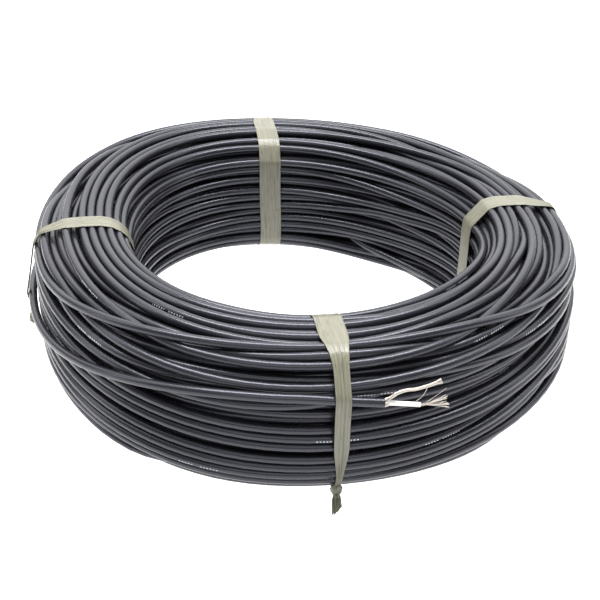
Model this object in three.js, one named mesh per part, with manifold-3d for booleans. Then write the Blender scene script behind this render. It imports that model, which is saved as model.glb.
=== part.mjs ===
// A coil of round shielded cable, lying flat on the floor.
// The cable is wound into a ring and held by four flat film ties. Its free end runs over the outside
// of the ring, under the front tie, and is stripped to show the screen, the core and the conductor.
// Millimetres, +Z up. The floor is z = 0 and the origin is the middle of the whole part's footprint.
import * as THREE from 'three';
import { mergeVertices } from 'three/addons/utils/BufferGeometryUtils.js';
import Module from 'manifold-3d';

const wasm = await Module();
wasm.setup();

// Driving dimensions.
const CABLE_D = 4.4;
const COIL_OUTER_R = 143;
const COIL_INNER_R = 91.5;
const COIL_HEIGHT = 76.6;
const COIL_CORNER_R = 17;       // of the ring's section, over the turns
const RING_SIDES = 36;          // flats round the ring
const TURN_PITCH = 5.0;         // from one turn to the next on the ring's skin
const GROOVE_DEPTH = 1.7;       // of the valley between two turns
const CLEARANCE = 0.3;          // between two pieces that touch

const FILM_THICK = 0.4;
const FILM_WIDE = 13;           // the film lying flat
const FILM_GATHERED = 6.5;      // the film drawn together towards its knot
const TIE_TURN = THREE.MathUtils.degToRad(8.5);  // of the front tie, from the front
const KNOT_OUT = 4.6;           // how far a knot stands off the film
const KNOT_HALF_WIDE = 3.2;
const KNOT_HALF_HIGH = 3.4;
const FRONT_TAIL = 17;          // the film's ends in front of the front knot
const TAIL_THICK = 1.2;         // both ends of the film, creased and lying together

const CORE_D = 2.15;
const CORE_LONG = 16.5;
const CONDUCTOR_D = 1.2;
const SCREEN_D = 1.7;
const STRAND_D = 0.34;
const STRAND_COUNT = 11;
const STRAND_LONG = 12.5;

// The ring's skin starts this far above the floor, because the film passes under it.
const COIL_BOTTOM = FILM_THICK + CLEARANCE;
const COIL_TOP = COIL_BOTTOM + COIL_HEIGHT;
// A flat of the ring is this much nearer to the axis than its edges.
const FLAT = Math.cos(Math.PI / RING_SIDES);
const FLAT_TURN = 2 * Math.PI / RING_SIDES;
// The ring isn't quite round: its middle radius swings by these shares, twice and three times a turn.
const MIDDLE_R = (COIL_INNER_R + COIL_OUTER_R) / 2;
const OVAL_COS = -0.0061;
const OVAL_SIN = -0.0373;
const TRIANGLE_COS = 0.0243;
const TRIANGLE_SIN = 0.0051;
// The ring's axis, so that the origin is the middle of the footprint with the front tie's ends.
const AXIS_X = -1.0;
const AXIS_Y = 5.4;

const JACKET = new THREE.MeshStandardMaterial({ color: 0x3a3b3e, roughness: 0.45, metalness: 0 });
const FILM = new THREE.MeshStandardMaterial({ color: 0xb4b196, roughness: 0.4, metalness: 0 });
const INSULATION = new THREE.MeshStandardMaterial({ color: 0xf2f2ee, roughness: 0.4, metalness: 0 });
const TINNED = new THREE.MeshStandardMaterial({ color: 0xc9bfb2, roughness: 0.35, metalness: 0.9 });

// A point of a rounded rectangle in the plane of the ring's section: x is the distance from the
// ring's axis and y the height. It lies at the share s of the outline, anticlockwise from the middle
// of the outer side, with the outward normal.
function sectionOutline(inset) {
  const left = COIL_INNER_R + inset;
  const right = COIL_OUTER_R - inset;
  const bottom = COIL_BOTTOM + inset;
  const top = COIL_TOP - inset;
  const r = COIL_CORNER_R - inset;
  const shape = new THREE.Shape();
  shape.moveTo(right, (bottom + top) / 2);
  shape.lineTo(right, top - r);
  shape.absarc(right - r, top - r, r, 0, Math.PI / 2);
  shape.lineTo(left + r, top);
  shape.absarc(left + r, top - r, r, Math.PI / 2, Math.PI);
  shape.lineTo(left, bottom + r);
  shape.absarc(left + r, bottom + r, r, Math.PI, Math.PI * 1.5);
  shape.lineTo(right - r, bottom);
  shape.absarc(right - r, bottom + r, r, Math.PI * 1.5, Math.PI * 2);
  shape.lineTo(right, (bottom + top) / 2);
  return shape;
}

// How far the ring's middle lies outside its mean radius at an edge between two flats.
function swingAtEdge(edge) {
  const t = TIE_TURN + (edge - 0.5) * FLAT_TURN - Math.PI / 2;
  return MIDDLE_R * (OVAL_COS * Math.cos(2 * t) + OVAL_SIN * Math.sin(2 * t)
    + TRIANGLE_COS * Math.cos(3 * t) + TRIANGLE_SIN * Math.sin(3 * t));
}

function swing(turn) {
  const place = (turn - TIE_TURN) / FLAT_TURN + 0.5;
  const edge = Math.floor(place);
  return THREE.MathUtils.lerp(swingAtEdge(edge), swingAtEdge(edge + 1), place - edge);
}

// Moves a round ring's geometry to the ring's true plan.
function outOfRound(geometry) {
  const place = geometry.attributes.position;
  for (let i = 0; i < place.count; i++) {
    const x = place.getX(i);
    const y = place.getY(i);
    const r = Math.hypot(x, y);
    const scale = (r + swing(Math.atan2(x, -y))) / r;
    place.setXY(i, x * scale, y * scale);
  }
  return geometry;
}

// The wound cable: one turned solid with its bore. Every turn of the skin is a ridge.
function woundCable() {
  const skin = sectionOutline(0);
  const turns = Math.round(skin.getLength() / TURN_PITCH);
  const points = [];
  for (let i = 0; i < turns; i++) {
    points.push(skin.getPointAt(i / turns));
    const s = (i + 0.5) / turns;
    const along = skin.getTangentAt(s);
    const groove = new THREE.Vector2(-along.y, along.x).multiplyScalar(GROOVE_DEPTH);
    points.push(skin.getPointAt(s).add(groove));
  }
  points.push(points[0].clone());
  const ring = new THREE.LatheGeometry(points, RING_SIDES, TIE_TURN - FLAT_TURN / 2);
  return outOfRound(ring.rotateX(Math.PI / 2));
}

// A place round the ring. turn is measured from the front, anticlockwise from above.
function around(turn, radius, height) {
  const reach = radius + swing(turn);
  return new THREE.Vector3(Math.sin(turn) * reach, -Math.cos(turn) * reach, height);
}

function solidOf(geometry) {
  const bare = geometry.clone();
  bare.deleteAttribute('normal');
  bare.deleteAttribute('uv');
  const merged = mergeVertices(bare, 1e-4);
  return new wasm.Manifold(new wasm.Mesh({
    numProp: 3,
    vertProperties: merged.attributes.position.array,
    triVerts: new Uint32Array(merged.index.array),
  }));
}

function geometryOf(solid) {
  const mesh = solid.getMesh();
  const geometry = new THREE.BufferGeometry();
  geometry.setAttribute('position', new THREE.BufferAttribute(mesh.vertProperties, 3));
  geometry.setIndex(new THREE.BufferAttribute(mesh.triVerts, 1));
  geometry.computeVertexNormals();
  return geometry;
}

function joined(geometries) {
  return geometryOf(geometries.map(solidOf).reduce((all, next) => all.add(next)));
}

// A round cord along a curve.
function tube(curve, diameter, sides, steps) {
  const section = new THREE.Shape();
  for (let i = 0; i < sides; i++) {
    const a = (i / sides) * Math.PI * 2;
    const x = Math.cos(a) * diameter / 2;
    const y = Math.sin(a) * diameter / 2;
    if (i === 0) section.moveTo(x, y);
    else section.lineTo(x, y);
  }
  section.closePath();
  return new THREE.ExtrudeGeometry(section, { steps, extrudePath: curve, bevelEnabled: false });
}

// The route of the free end: under the left tie, up the outside of the ring, under the front tie and
// straight on, sinking a little.
const END_R = COIL_OUTER_R + CLEARANCE + 0.15 + CABLE_D / 2;
const END_START_TURN = THREE.MathUtils.degToRad(-95);
const END_RISE = { from: THREE.MathUtils.degToRad(-75), to: THREE.MathUtils.degToRad(-5) };
const END_SINK = { from: 0, to: THREE.MathUtils.degToRad(18) };
const END_LOW = 38;
const END_HIGH = 60;
const END_SUNK = 4.5;
const END_STRAIGHT_TURN = THREE.MathUtils.degToRad(9);
const END_STRAIGHT = 16;

function freeEndHeight(turn) {
  const rise = THREE.MathUtils.smoothstep(turn, END_RISE.from, END_RISE.to);
  const sink = THREE.MathUtils.smoothstep(turn, END_SINK.from, END_SINK.to);
  return THREE.MathUtils.lerp(END_LOW, END_HIGH, rise) - END_SUNK * sink;
}

function alongEnd(turn) {
  return around(turn, END_R, freeEndHeight(turn));
}

const straightFrom = alongEnd(END_STRAIGHT_TURN);
const ahead = alongEnd(END_STRAIGHT_TURN + 0.02).sub(straightFrom).normalize();
const jacketEnd = straightFrom.clone().addScaledVector(ahead, END_STRAIGHT);

function freeEndRoute() {
  const points = [];
  const count = 26;
  for (let i = 0; i < count; i++) {
    points.push(alongEnd(THREE.MathUtils.lerp(END_START_TURN, END_STRAIGHT_TURN, i / count)));
  }
  points.push(straightFrom, straightFrom.clone().lerp(jacketEnd, 0.5), jacketEnd);
  return new THREE.CatmullRomCurve3(points);
}

// A point by the stripped end: forward along the cable, up, and out from the ring.
function beyond(forward, up, out = 0) {
  const outwards = new THREE.Vector3(ahead.y, -ahead.x, 0).normalize();
  return jacketEnd.clone()
    .addScaledVector(ahead, forward)
    .addScaledVector(outwards, out)
    .add(new THREE.Vector3(0, 0, up));
}

function curveThrough(...points) {
  return new THREE.CatmullRomCurve3(points);
}

function freeEnd() {
  return tube(freeEndRoute(), CABLE_D, 10, 32);
}

const CORE_DROP = -0.2;

function coreInsulation() {
  const route = curveThrough(
    beyond(CLEARANCE, 0), beyond(CORE_LONG * 0.5, CORE_DROP * 0.2), beyond(CORE_LONG, CORE_DROP));
  return tube(route, CORE_D, 12, 6);
}

// The bare conductor: a short round root that opens into a fan of strands.
function conductor() {
  const rootStart = CORE_LONG + CLEARANCE;
  const rootEnd = rootStart + 1.6;
  const root = tube(curveThrough(beyond(rootStart, CORE_DROP), beyond(rootEnd, CORE_DROP)),
    CONDUCTOR_D, 8, 1);
  const strands = [root];
  for (let i = 0; i < STRAND_COUNT; i++) {
    const share = i / (STRAND_COUNT - 1);
    const rise = 8.2 * share ** 1.4 - 0.2;
    const out = 1.1 * Math.sin(i * 2.4);
    const long = STRAND_LONG - 2.2 * share - 0.8 * (i % 3);
    strands.push(tube(curveThrough(
      beyond(rootStart + 0.8, CORE_DROP + 0.3 * (share - 0.5), 0.1 * out),
      beyond(rootStart + 0.8 + long * 0.5, CORE_DROP + rise * 0.42, out * 0.55),
      beyond(rootStart + 0.8 + long, CORE_DROP + rise, out)), STRAND_D, 5, 3));
  }
  return joined(strands);
}

// The screen: a short collar where the braid leaves the jacket, twisted into one pigtail.
const COLLAR_LONG = 1.3;
const COLLAR_OUTER_D = 3.6;
const COLLAR_INNER_D = CORE_D + 2 * CLEARANCE;

function screenPigtail() {
  const ring = new THREE.Shape();
  ring.absarc(0, 0, COLLAR_OUTER_D / 2, 0, Math.PI * 2);
  const hole = new THREE.Path();
  hole.absarc(0, 0, COLLAR_INNER_D / 2, 0, Math.PI * 2);
  ring.holes.push(hole);
  const collar = new THREE.ExtrudeGeometry(ring, {
    curveSegments: 16, steps: 1, bevelEnabled: false,
    extrudePath: new THREE.LineCurve3(beyond(CLEARANCE, 0), beyond(CLEARANCE + COLLAR_LONG, 0)),
  });
  const rootUp = (COLLAR_OUTER_D + SCREEN_D) / 2 - 0.5;
  const pigtail = tube(curveThrough(
    beyond(CLEARANCE, rootUp), beyond(1.4, rootUp + 0.2), beyond(6.1, rootUp + 4.8),
    beyond(10, rootUp + 5.4), beyond(14.3, rootUp + 5.9), beyond(20, rootUp + 8),
    beyond(25.3, rootUp + 10.7)), SCREEN_D, 8, 16);
  return joined([collar, pigtail]);
}

// A tie's loop round the ring's section, in the tie's own plane: x outwards, z up, y across the
// film. It is drawn tight, so it bridges whatever lies between it and the ring.
function tieOutline(holds) {
  const slack = CLEARANCE;
  const corners = 6;
  const r = COIL_CORNER_R + slack;
  const right = COIL_OUTER_R * FLAT + slack;
  const left = COIL_INNER_R * FLAT - slack;
  const bottom = COIL_BOTTOM - slack;
  const top = COIL_TOP + slack;
  const centres = [
    [right - r, top - r, 0], [left + r, top - r, 1], [left + r, bottom + r, 2],
    [right - r, bottom + r, 3],
  ];
  const points = [];
  for (const [x, y, quarter] of centres) {
    for (let i = 0; i <= corners; i++) {
      const a = (quarter + i / corners) * Math.PI / 2;
      points.push(new THREE.Vector2(x + Math.cos(a) * r, y + Math.sin(a) * r));
    }
  }
  if (holds) {
    // Round the cable that is held: the film meets it along its outer quarter.
    for (const a of [-0.5, -0.17, 0.17, 0.5]) {
      const reach = holds.diameter / 2 + slack;
      points.push(new THREE.Vector2(holds.x + Math.cos(a) * reach, holds.y + Math.sin(a) * reach));
    }
  }
  return points;
}

// The film's width at a point of its loop: flat on the top, in the bore and underneath, and drawn
// together on the outside.
function filmWidth(point, gathered) {
  const middle = (COIL_INNER_R + COIL_OUTER_R) / 2;
  const outward = THREE.MathUtils.smoothstep(point.x, middle + 8, COIL_OUTER_R - 1);
  return THREE.MathUtils.lerp(FILM_WIDE, gathered, outward);
}

function band(outline, gathered) {
  const count = outline.length;
  const positions = [];
  const index = [];
  outline.forEach((p, i) => {
    const before = outline[(i + count - 1) % count];
    const after = outline[(i + 1) % count];
    const along = after.clone().sub(before).normalize();
    const outer = p.clone().add(new THREE.Vector2(along.y, -along.x).multiplyScalar(FILM_THICK));
    const half = filmWidth(p, gathered) / 2;
    positions.push(p.x, -half, p.y, p.x, half, p.y, outer.x, half, outer.y, outer.x, -half, outer.y);
  });
  for (let i = 0; i < count; i++) {
    const a = i * 4;
    const b = ((i + 1) % count) * 4;
    for (let k = 0; k < 4; k++) {
      const l = (k + 1) % 4;
      index.push(a + k, b + k, b + l, a + k, b + l, a + l);
    }
  }
  const geometry = new THREE.BufferGeometry();
  geometry.setAttribute('position', new THREE.Float32BufferAttribute(positions, 3));
  geometry.setIndex(index);
  return geometry;
}

// How far out a tie's loop lies at a height on the outside of the ring.
function loopReach(outline, height) {
  let reach = 0;
  outline.forEach((p, i) => {
    const q = outline[(i + 1) % outline.length];
    if ((p.y - height) * (q.y - height) > 0 || p.y === q.y) return;
    reach = Math.max(reach, THREE.MathUtils.mapLinear(height, p.y, q.y, p.x, q.x));
  });
  return reach;
}

function knot(reach, height) {
  const lump = new THREE.SphereGeometry(1, 10, 8);
  lump.scale(KNOT_OUT / 2 + 0.5, KNOT_HALF_WIDE, KNOT_HALF_HIGH);
  return lump.translate(reach + KNOT_OUT / 2, 0, height);
}

// The film's two ends, lying together on the floor and turned a little to one side.
function floorTail(reach) {
  const start = reach + 1.6;
  const end = COIL_OUTER_R + FRONT_TAIL;
  const shape = new THREE.Shape();
  shape.moveTo(start, 1.4);
  shape.lineTo(start, -1.4);
  shape.lineTo(start + 5, -2.0);
  shape.lineTo(end - 4, -5.2);
  shape.lineTo(end, -3.6);
  shape.lineTo(end - 3, 1.0);
  shape.lineTo(start + 5, 1.8);
  shape.closePath();
  return new THREE.ExtrudeGeometry(shape, { depth: TAIL_THICK, bevelEnabled: false });
}

// The film's two ends, pressed against the ring under a knot.
function sideTail(reach, knotHeight) {
  const long = 9;
  const geometry = new THREE.BoxGeometry(TAIL_THICK, 4.4, long);
  const x = reach + FILM_THICK + TAIL_THICK / 2;
  return geometry.translate(x, 0, knotHeight - KNOT_HALF_HIGH - long / 2 + 1.5);
}

function orderedHull(points) {
  const middle = points.reduce((sum, p) => sum.add(p), new THREE.Vector2())
    .divideScalar(points.length);
  const sorted = [...points].sort((a, b) => a.x - b.x || a.y - b.y);
  const cross = (o, a, b) => (a.x - o.x) * (b.y - o.y) - (a.y - o.y) * (b.x - o.x);
  const chain = (list) => {
    const out = [];
    for (const p of list) {
      while (out.length > 1 && cross(out[out.length - 2], out[out.length - 1], p) <= 1e-6) out.pop();
      out.push(p);
    }
    out.pop();
    return out;
  };
  const hull = [...chain(sorted), ...chain(sorted.reverse())];
  return hull.sort((a, b) => Math.atan2(a.y - middle.y, a.x - middle.x)
    - Math.atan2(b.y - middle.y, b.x - middle.x));
}

function tie(knotHeight, holds, lyingTail) {
  const outline = orderedHull(tieOutline(holds));
  const reach = loopReach(outline, knotHeight);
  const tail = lyingTail ? floorTail(reach) : sideTail(reach, knotHeight);
  const inside = new THREE.ExtrudeGeometry(new THREE.Shape(outline), { depth: 40, bevelEnabled: false });
  inside.translate(0, 0, -20).rotateX(Math.PI / 2);
  const lumps = solidOf(knot(reach, knotHeight)).add(solidOf(tail)).subtract(solidOf(inside));
  return geometryOf(solidOf(band(outline, FILM_GATHERED)).add(lumps));
}

function piece(name, geometry, material) {
  const mesh = new THREE.Mesh(geometry, material);
  mesh.name = name;
  return mesh;
}

const coil = new THREE.Group();
coil.position.set(AXIS_X, AXIS_Y, 0);

coil.add(piece('cable_coil', woundCable(), JACKET));
coil.add(piece('cable_free_end', freeEnd(), JACKET));
coil.add(piece('core_insulation', coreInsulation(), INSULATION));
coil.add(piece('conductor_strands', conductor(), TINNED));
coil.add(piece('screen_pigtail', screenPigtail(), TINNED));

// The cable's free end passes under the left and front ties, so they go round it too.
const underFront = { x: END_R, y: freeEndHeight(TIE_TURN), diameter: CABLE_D };
const underLeft = { x: END_R, y: freeEndHeight(TIE_TURN - Math.PI / 2), diameter: CABLE_D };
const TIES = [
  { name: 'tie_front', turn: 0, knotHeight: 4.2, holds: underFront, lyingTail: true },
  { name: 'tie_right', turn: 90, knotHeight: 24, holds: null, lyingTail: false },
  { name: 'tie_back', turn: 180, knotHeight: 24, holds: null, lyingTail: false },
  { name: 'tie_left', turn: 270, knotHeight: 22, holds: underLeft, lyingTail: false },
];
for (const { name, turn, knotHeight, holds, lyingTail } of TIES) {
  const geometry = tie(knotHeight, holds, lyingTail);
  geometry.rotateZ(TIE_TURN + THREE.MathUtils.degToRad(turn) - Math.PI / 2);
  coil.add(piece(name, outOfRound(geometry), FILM));
}

export default coil;
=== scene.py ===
"""Looks of a coil of round shielded cable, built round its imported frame.

The winding is worked out as one chain of turns, relaxed until its strands nearly clear each other, and
swept by a node tree. The film ties are drawn round the strands that they hold. Numbers below are in
millimetres where nothing else is said. The meshes are in metres.
"""

import math

import bpy
import numpy as np
from mathutils import Matrix, Vector

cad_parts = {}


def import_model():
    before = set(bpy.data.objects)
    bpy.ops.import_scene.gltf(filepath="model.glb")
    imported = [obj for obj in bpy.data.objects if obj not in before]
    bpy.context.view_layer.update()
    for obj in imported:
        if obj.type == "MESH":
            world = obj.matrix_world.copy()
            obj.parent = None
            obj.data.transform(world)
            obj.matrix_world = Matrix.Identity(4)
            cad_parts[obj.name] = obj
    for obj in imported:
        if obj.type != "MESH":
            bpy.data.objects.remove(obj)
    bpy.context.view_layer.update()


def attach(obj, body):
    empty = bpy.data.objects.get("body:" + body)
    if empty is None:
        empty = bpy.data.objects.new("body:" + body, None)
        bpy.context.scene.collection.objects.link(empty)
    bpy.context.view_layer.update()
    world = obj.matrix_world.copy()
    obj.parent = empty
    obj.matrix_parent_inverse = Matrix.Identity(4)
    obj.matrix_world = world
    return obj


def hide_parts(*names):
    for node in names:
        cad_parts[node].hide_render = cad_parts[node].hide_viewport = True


MM = 0.001

# The camera: where the eye is from the coil's axis, in metres, and where the axis falls in the picture.
PICTURE_SIDE = 600
EYE_FROM_AXIS = (0.0, -557.7 * MM, 348.8 * MM)
LENS_MM = 70.4
SHIFT_X = 0.0067
SHIFT_Y = 0.0589
CAMERA_ROLL = 0.0173

# The light: how bright the floor glows, where the sky is brightest, and its dimmest and brightest.
FLOOR_GLOW = 1.7
SKY_TOWARDS = (0.0, 0.55, 0.835)
SKY_EDGE = (0.35, 0.9)
SKY_LIGHT = (0.26, 2.6)
# The floor: its colour, and half its side in metres.
FLOOR_COLOUR = (0.22, 0.22, 0.22)
FLOOR_HALF = 3.0
# The softboxes: where each one is, how wide and how deep, in metres, and its power in watts.
SOFTBOXES = {
    "overhead": ((0.0, 0.1, 1.3), 1.4, 0.32, 34),
    "front_fill": ((0.0, -1.3, 1.0), 1.6, 0.8, 8),
    "left_side": ((-1.2, -0.1, 0.6), 0.3, 0.9, 3),
    "right_side": ((1.2, -0.1, 0.6), 0.3, 0.9, 3),
}

# The jacket: its colours, how rough it is, the scales of its noise, and the braid that shows through.
JACKET_COLOUR = (0.011, 0.0112, 0.0142)
JACKET_SHINE = (0.86, 0.88, 1.0)
JACKET_ROUGH = 0.36
JACKET_LEAST_ROUGH = 0.23
JACKET_WEAR = 0.08
JACKET_GRAIN = 900
JACKET_CLOUD = 45
BRAID_STRANDS = 8
BRAID_LAY = 1.6
BRAID_SHOW = 0.08
# Its marks: how far apart, how long, and how wide the gap in each is, in metres. The place of the gap is
# a share of the mark, and the half height is a share of the radius of the cable.
MARK_EVERY = 0.5
MARK_ROW = 0.019
MARK_GAP_AT = 0.45
MARK_GAP = 0.0012
MARK_HALF_HIGH = 0.17
MARK_STRENGTH = 0.75
MARK_COLOUR = (0.5, 0.52, 0.56)
TICK_EVERY = 1.5

# The colours of the film, and how its streaks and the painted shade of its sharp folds are stretched along
# it.
FILM_ROUGH = 0.33
FILM_BASE = (0.3, 0.29, 0.2)
FILM_DARK = (0.105, 0.102, 0.070)
FILM_LIGHT = (0.195, 0.188, 0.140)
FILM_RAMP = (0.3, 0.72)
FILM_STREAKS = (2.0, 26.0, 1.0)
FILM_CREASE_SHADE_STRETCH = (1.1, 6.0, 1.0)
# The lines of painted shade at sharp folds: how wide, how much of the film is left at their middle, and
# their colour.
CREASE_SHADE_WIDE = 0.022
CREASE_SHADE_LEFT = 0.35
CREASE_SHADE_COLOUR = (0.05, 0.048, 0.035)

# The colours of the core's insulation and of the tinned wires.
CORE_BASE = (0.86, 0.87, 0.86)
CORE_DARK = (0.62, 0.63, 0.62)
CORE_LIGHT = (0.78, 0.78, 0.77)
TINNED_BASE = (0.6, 0.56, 0.51)
TINNED_DARK = (0.42, 0.36, 0.31)
TINNED_LIGHT = (0.68, 0.65, 0.60)

# The coil, as in the frame.
CABLE_D = 4.4
OUTER_R = 143.0
INNER_R = 91.5
MIDDLE_R = (OUTER_R + INNER_R) / 2
FILM_GAP = 0.7
COIL_HEIGHT = 76.6
BOTTOM = FILM_GAP
TOP = BOTTOM + COIL_HEIGHT
CORNER_R = 17.0
LEAST_CORNER_R = 2.0
CORNER_STEPS = 24
AXIS_X = -1.0
AXIS_Y = 5.4
OVAL = (-0.0061, -0.0373)
TRIANGLE = (0.0243, 0.0051)
FRONT = -math.pi / 2
TIE_TURN = math.radians(8.5)

# The film ties: where each lies, where its knot sits, how wide it lies flat and how far it runs askew.
TIES = {
    "tie_front": {"azimuth": FRONT + TIE_TURN, "knot": 4.2, "wide": 13.0, "gathered": 6.9, "askew": -1.0},
    "tie_right": {"azimuth": TIE_TURN, "knot": 24.0, "wide": 12.0, "gathered": 6.0, "askew": 0.0},
    "tie_back": {"azimuth": FRONT + TIE_TURN + math.pi, "knot": 24.0, "wide": 12.4, "gathered": 6.0,
                 "askew": 2.0},
    "tie_left": {"azimuth": TIE_TURN + math.pi, "knot": 22.0, "wide": 11.5, "gathered": 6.0, "askew": 0.6},
}
FILM_GAP_SKIN = 0.12
FILM_THICK = 0.12
FILM_STEPS = 150
FILM_COLUMNS = 33
# How many waves make its folds, and how far along it one unit of its streaks goes.
FILM_FOLDS = 6
FILM_RUN = 40
# Over which radii the film is drawn together, how far from its knot it is pinched, and to what width.
GATHER_EDGE = (MIDDLE_R + 4, OUTER_R - 1.5)
PINCH_EDGE = (7.0, 31.0)
PINCH_WIDE = 2.6
# How high the folds stand: everywhere, what is added outside the ring, and what is added at the knot.
FOLD_HIGH = 0.10
FOLD_HIGH_OUTSIDE = 0.75
FOLD_HIGH_PINCHED = 0.5
# The waves in which the film runs to and fro: how far, and how long.
FILM_WANDERS = ((0.35, 21), (0.2, 9))
KNOT_OUT = 4.6
KNOT_WIDE = 2.6
KNOT_HIGH = 3.0
KNOT_RINGS = 26
KNOT_COLUMNS = 34
# The creases of the knot: how deep, how many round it, and how they lean.
KNOT_CREASES = ((0.12, 5, 3), (0.09, 9, -4), (0.07, 13, 6))
# Its waist: how deep, where from its top, and how wide, both in radians.
KNOT_WAIST = (0.22, 1.75, 0.16)
# The two ends of the film: how long, half how wide at the knot and how much that grows, how far they are
# cut aslant, how steeply they hang, and below which height of the knot they lie on the floor instead.
TAIL_LONG = 14.5
TAIL_HALF = 0.9
TAIL_OPENS = 1.1
TAIL_CUT = 0.2
TAIL_FALL = 0.62
TAIL_FLOOR = 10
TAIL_STEPS = 26
TAIL_COLUMNS = 15
TAIL_FOLDS = 5
TAIL_LEANS = (-1.6, -0.9)

# The cable's free end, as in the frame.
END_R = OUTER_R + 0.45 + CABLE_D / 2
END_START = FRONT + math.radians(-95)
END_RISE = (FRONT + math.radians(-75), FRONT + math.radians(-5))
END_SINK = (FRONT, FRONT + math.radians(18))
END_LOW = 38.0
END_HIGH = 60.0
END_SUNK = 4.5
END_STRAIGHT = FRONT + math.radians(9)
END_STRAIGHT_LONG = 16.0
CORE_D = 2.15
CORE_LONG = 16.5
CORE_DROP = -0.2
SCREEN_D = 1.7
COLLAR_D = 3.6
END_STEPS = 40
END_SIDES = 16
CORE_SIDES = 20

# The wires of the screen, bundle by bundle: the bundle's radius, its wires, how loosely they start, and
# how far round in radians.
SCREEN_BUNDLES = ((0.58, 9, 1.0, 0.0), (0.25, 5, 0.7, 0.4))
SCREEN_TWISTS = 5.0
# How much a bundle opens at its tip, and by what share of its way its loose start is drawn together.
SCREEN_FLARE = 0.8
SCREEN_GATHERED = 0.16
SCREEN_STEPS = 90
SCREEN_WIRE_D = 0.34
WIRE_SIDES = 6
COLLAR_WIRES = 16
# The way of a collar wire: how far ahead, how far from the core's axis, and how far round in radians.
COLLAR_WAY = ((-0.5, 1.75, 0.0), (0.5, 1.7, 0.3), (1.3, 1.45, 0.7), (1.9, 1.25, 1.1))

# The wires of the conductor, which open into a fan.
CONDUCTOR_WIRES = 20
CONDUCTOR_WIRE_D = 0.2
FAN_ROOT_R = 0.45
FAN_TURN = 2.4
FAN_LONG = 12.6
FAN_RISE = 6.0
FAN_OUT = 1.9

# The winding.
SLICES = 96
# Layer by layer: how far inside the skin, from strand to strand, and how far the turns leave their order.
LAYER_INSETS = (14.2, 10.2, 6.2, 2.3)
LAYER_PITCHES = (5.2, 5.2, 5.3, 6.0)
LAYER_DISORDER = (3.0, 3.4, 3.4, 3.6)
# Layer by layer, how far the strands drift round the section between the ties, and where most.
LAYER_DRIFTS = (0.0, 0.0, -3.0, 7.0)
DRIFT_AZIMUTH = FRONT - math.radians(82)
# Some strands of the outer layer stray the other way, over the rest.
STRAY_SHARE = 0.16
STRAY_DRIFT = -9.0
STRAY_LIFT = 2.0
# How many strands change places with one of the next layer.
LAYER_SWAPS = 14
# How much of the drift the inner wall has, and over which radii it grows to the whole.
INNER_DRIFT = 0.15
DRIFT_EDGE = (INNER_R + 8, MIDDLE_R + 8)
# How long a strand takes to its next place, in turns: the least, what chance adds, and by when it is there.
SPAN_LEAST = 0.4
SPAN_CHANCE = 0.4
SPAN_END = 0.98
# A strand that goes farther than this at once goes over or under the others by the lift.
FAR_JUMP = 5.0
CROSSING_LIFT = 3.0
# The slow wander along the cable: how long, in slices, and how far.
WANDER_LONG = 30
WANDER_FAR = 1.5
WINDING_SEED = 7
INNER_TURNS = 0.62
INNER_SIDES = 10
OUTER_SIDES = 14

# The relaxation. In its last rounds the strands aren't pulled back to where they were wanted.
RELAX_ROUNDS = 260
FREE_ROUNDS = 30
PAIRS_EVERY = 12
PAIR_REACH = 1.6 * CABLE_D
PAIR_PUSH = 0.4
SPACING = CABLE_D + 0.06
SMOOTHINGS = 3
BEND_EASE = 0.12
STIFF_EASE = 0.2
HOME_PULL = 0.02
SKIN_GAP = 0.1
SKIN_PUSH = 0.9
SWELL = 0.85
# The last stretch, in slices, and the radius and height from which it climbs to the free end.
CLIMB = 22
CLIMB_FROM = (OUTER_R - 2.2, END_LOW - 3.0)


def plan_swing(azimuth):
    """How far the ring's middle lies outside its mean radius, in millimetres."""
    share = (OVAL[0] * np.cos(2 * azimuth) + OVAL[1] * np.sin(2 * azimuth)
             + TRIANGLE[0] * np.cos(3 * azimuth) + TRIANGLE[1] * np.sin(3 * azimuth))
    return MIDDLE_R * share


def place(azimuth, radius, height):
    """A point of the row frame, in metres, from its place in the coil, in millimetres."""
    reach = radius + plan_swing(azimuth)
    x = AXIS_X + reach * np.cos(azimuth)
    y = AXIS_Y + reach * np.sin(azimuth)
    return np.stack([x, y, height + 0.0 * reach], -1) * MM


def smoothstep(x, low, high):
    """Nought below low, one above high, and a smooth rise between them."""
    t = np.clip((x - low) / (high - low), 0.0, 1.0)
    return t * t * (3 - 2 * t)


# Camera

def make_camera():
    eye = Vector((AXIS_X * MM, AXIS_Y * MM, 0)) + Vector(EYE_FROM_AXIS)
    target = Vector((AXIS_X * MM, AXIS_Y * MM, 0))
    data = bpy.data.cameras.new("camera")
    data.lens = LENS_MM
    data.sensor_width = 36.0
    data.shift_x = SHIFT_X
    data.shift_y = SHIFT_Y
    camera = bpy.data.objects.new("camera", data)
    turn = (target - eye).to_track_quat("-Z", "Y").to_matrix().to_4x4()
    camera.matrix_world = Matrix.Translation(eye) @ turn @ Matrix.Rotation(CAMERA_ROLL, 4, "Z")
    bpy.context.scene.collection.objects.link(camera)
    bpy.context.scene.camera = camera


# Winding

def section_outline(inset, count):
    """Evenly spaced points on the section's outline at an inset from the skin."""
    r = max(CORNER_R - inset, LEAST_CORNER_R)
    left, right = INNER_R + inset, OUTER_R - inset
    bottom, top = BOTTOM + inset, TOP - inset
    corners = ((right - r, top - r), (left + r, top - r), (left + r, bottom + r), (right - r, bottom + r))
    points = []
    for quarter, (x, z) in enumerate(corners):
        a = (quarter + np.linspace(0, 1, CORNER_STEPS)) * math.pi / 2
        points.append(np.stack([x + r * np.cos(a), z + r * np.sin(a)], 1))
    points = np.concatenate(points)
    return resampled(np.concatenate([points, points[:1]]), count)


def resampled(points, count):
    """count points evenly spaced along a closed line whose last point repeats the first."""
    step = np.linalg.norm(np.diff(points, axis=0), axis=1)
    along = np.concatenate([[0], np.cumsum(step)])
    at = np.arange(count) / count * along[-1]
    return np.stack([np.interp(at, along, points[:, c]) for c in range(points.shape[1])], 1)


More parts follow.
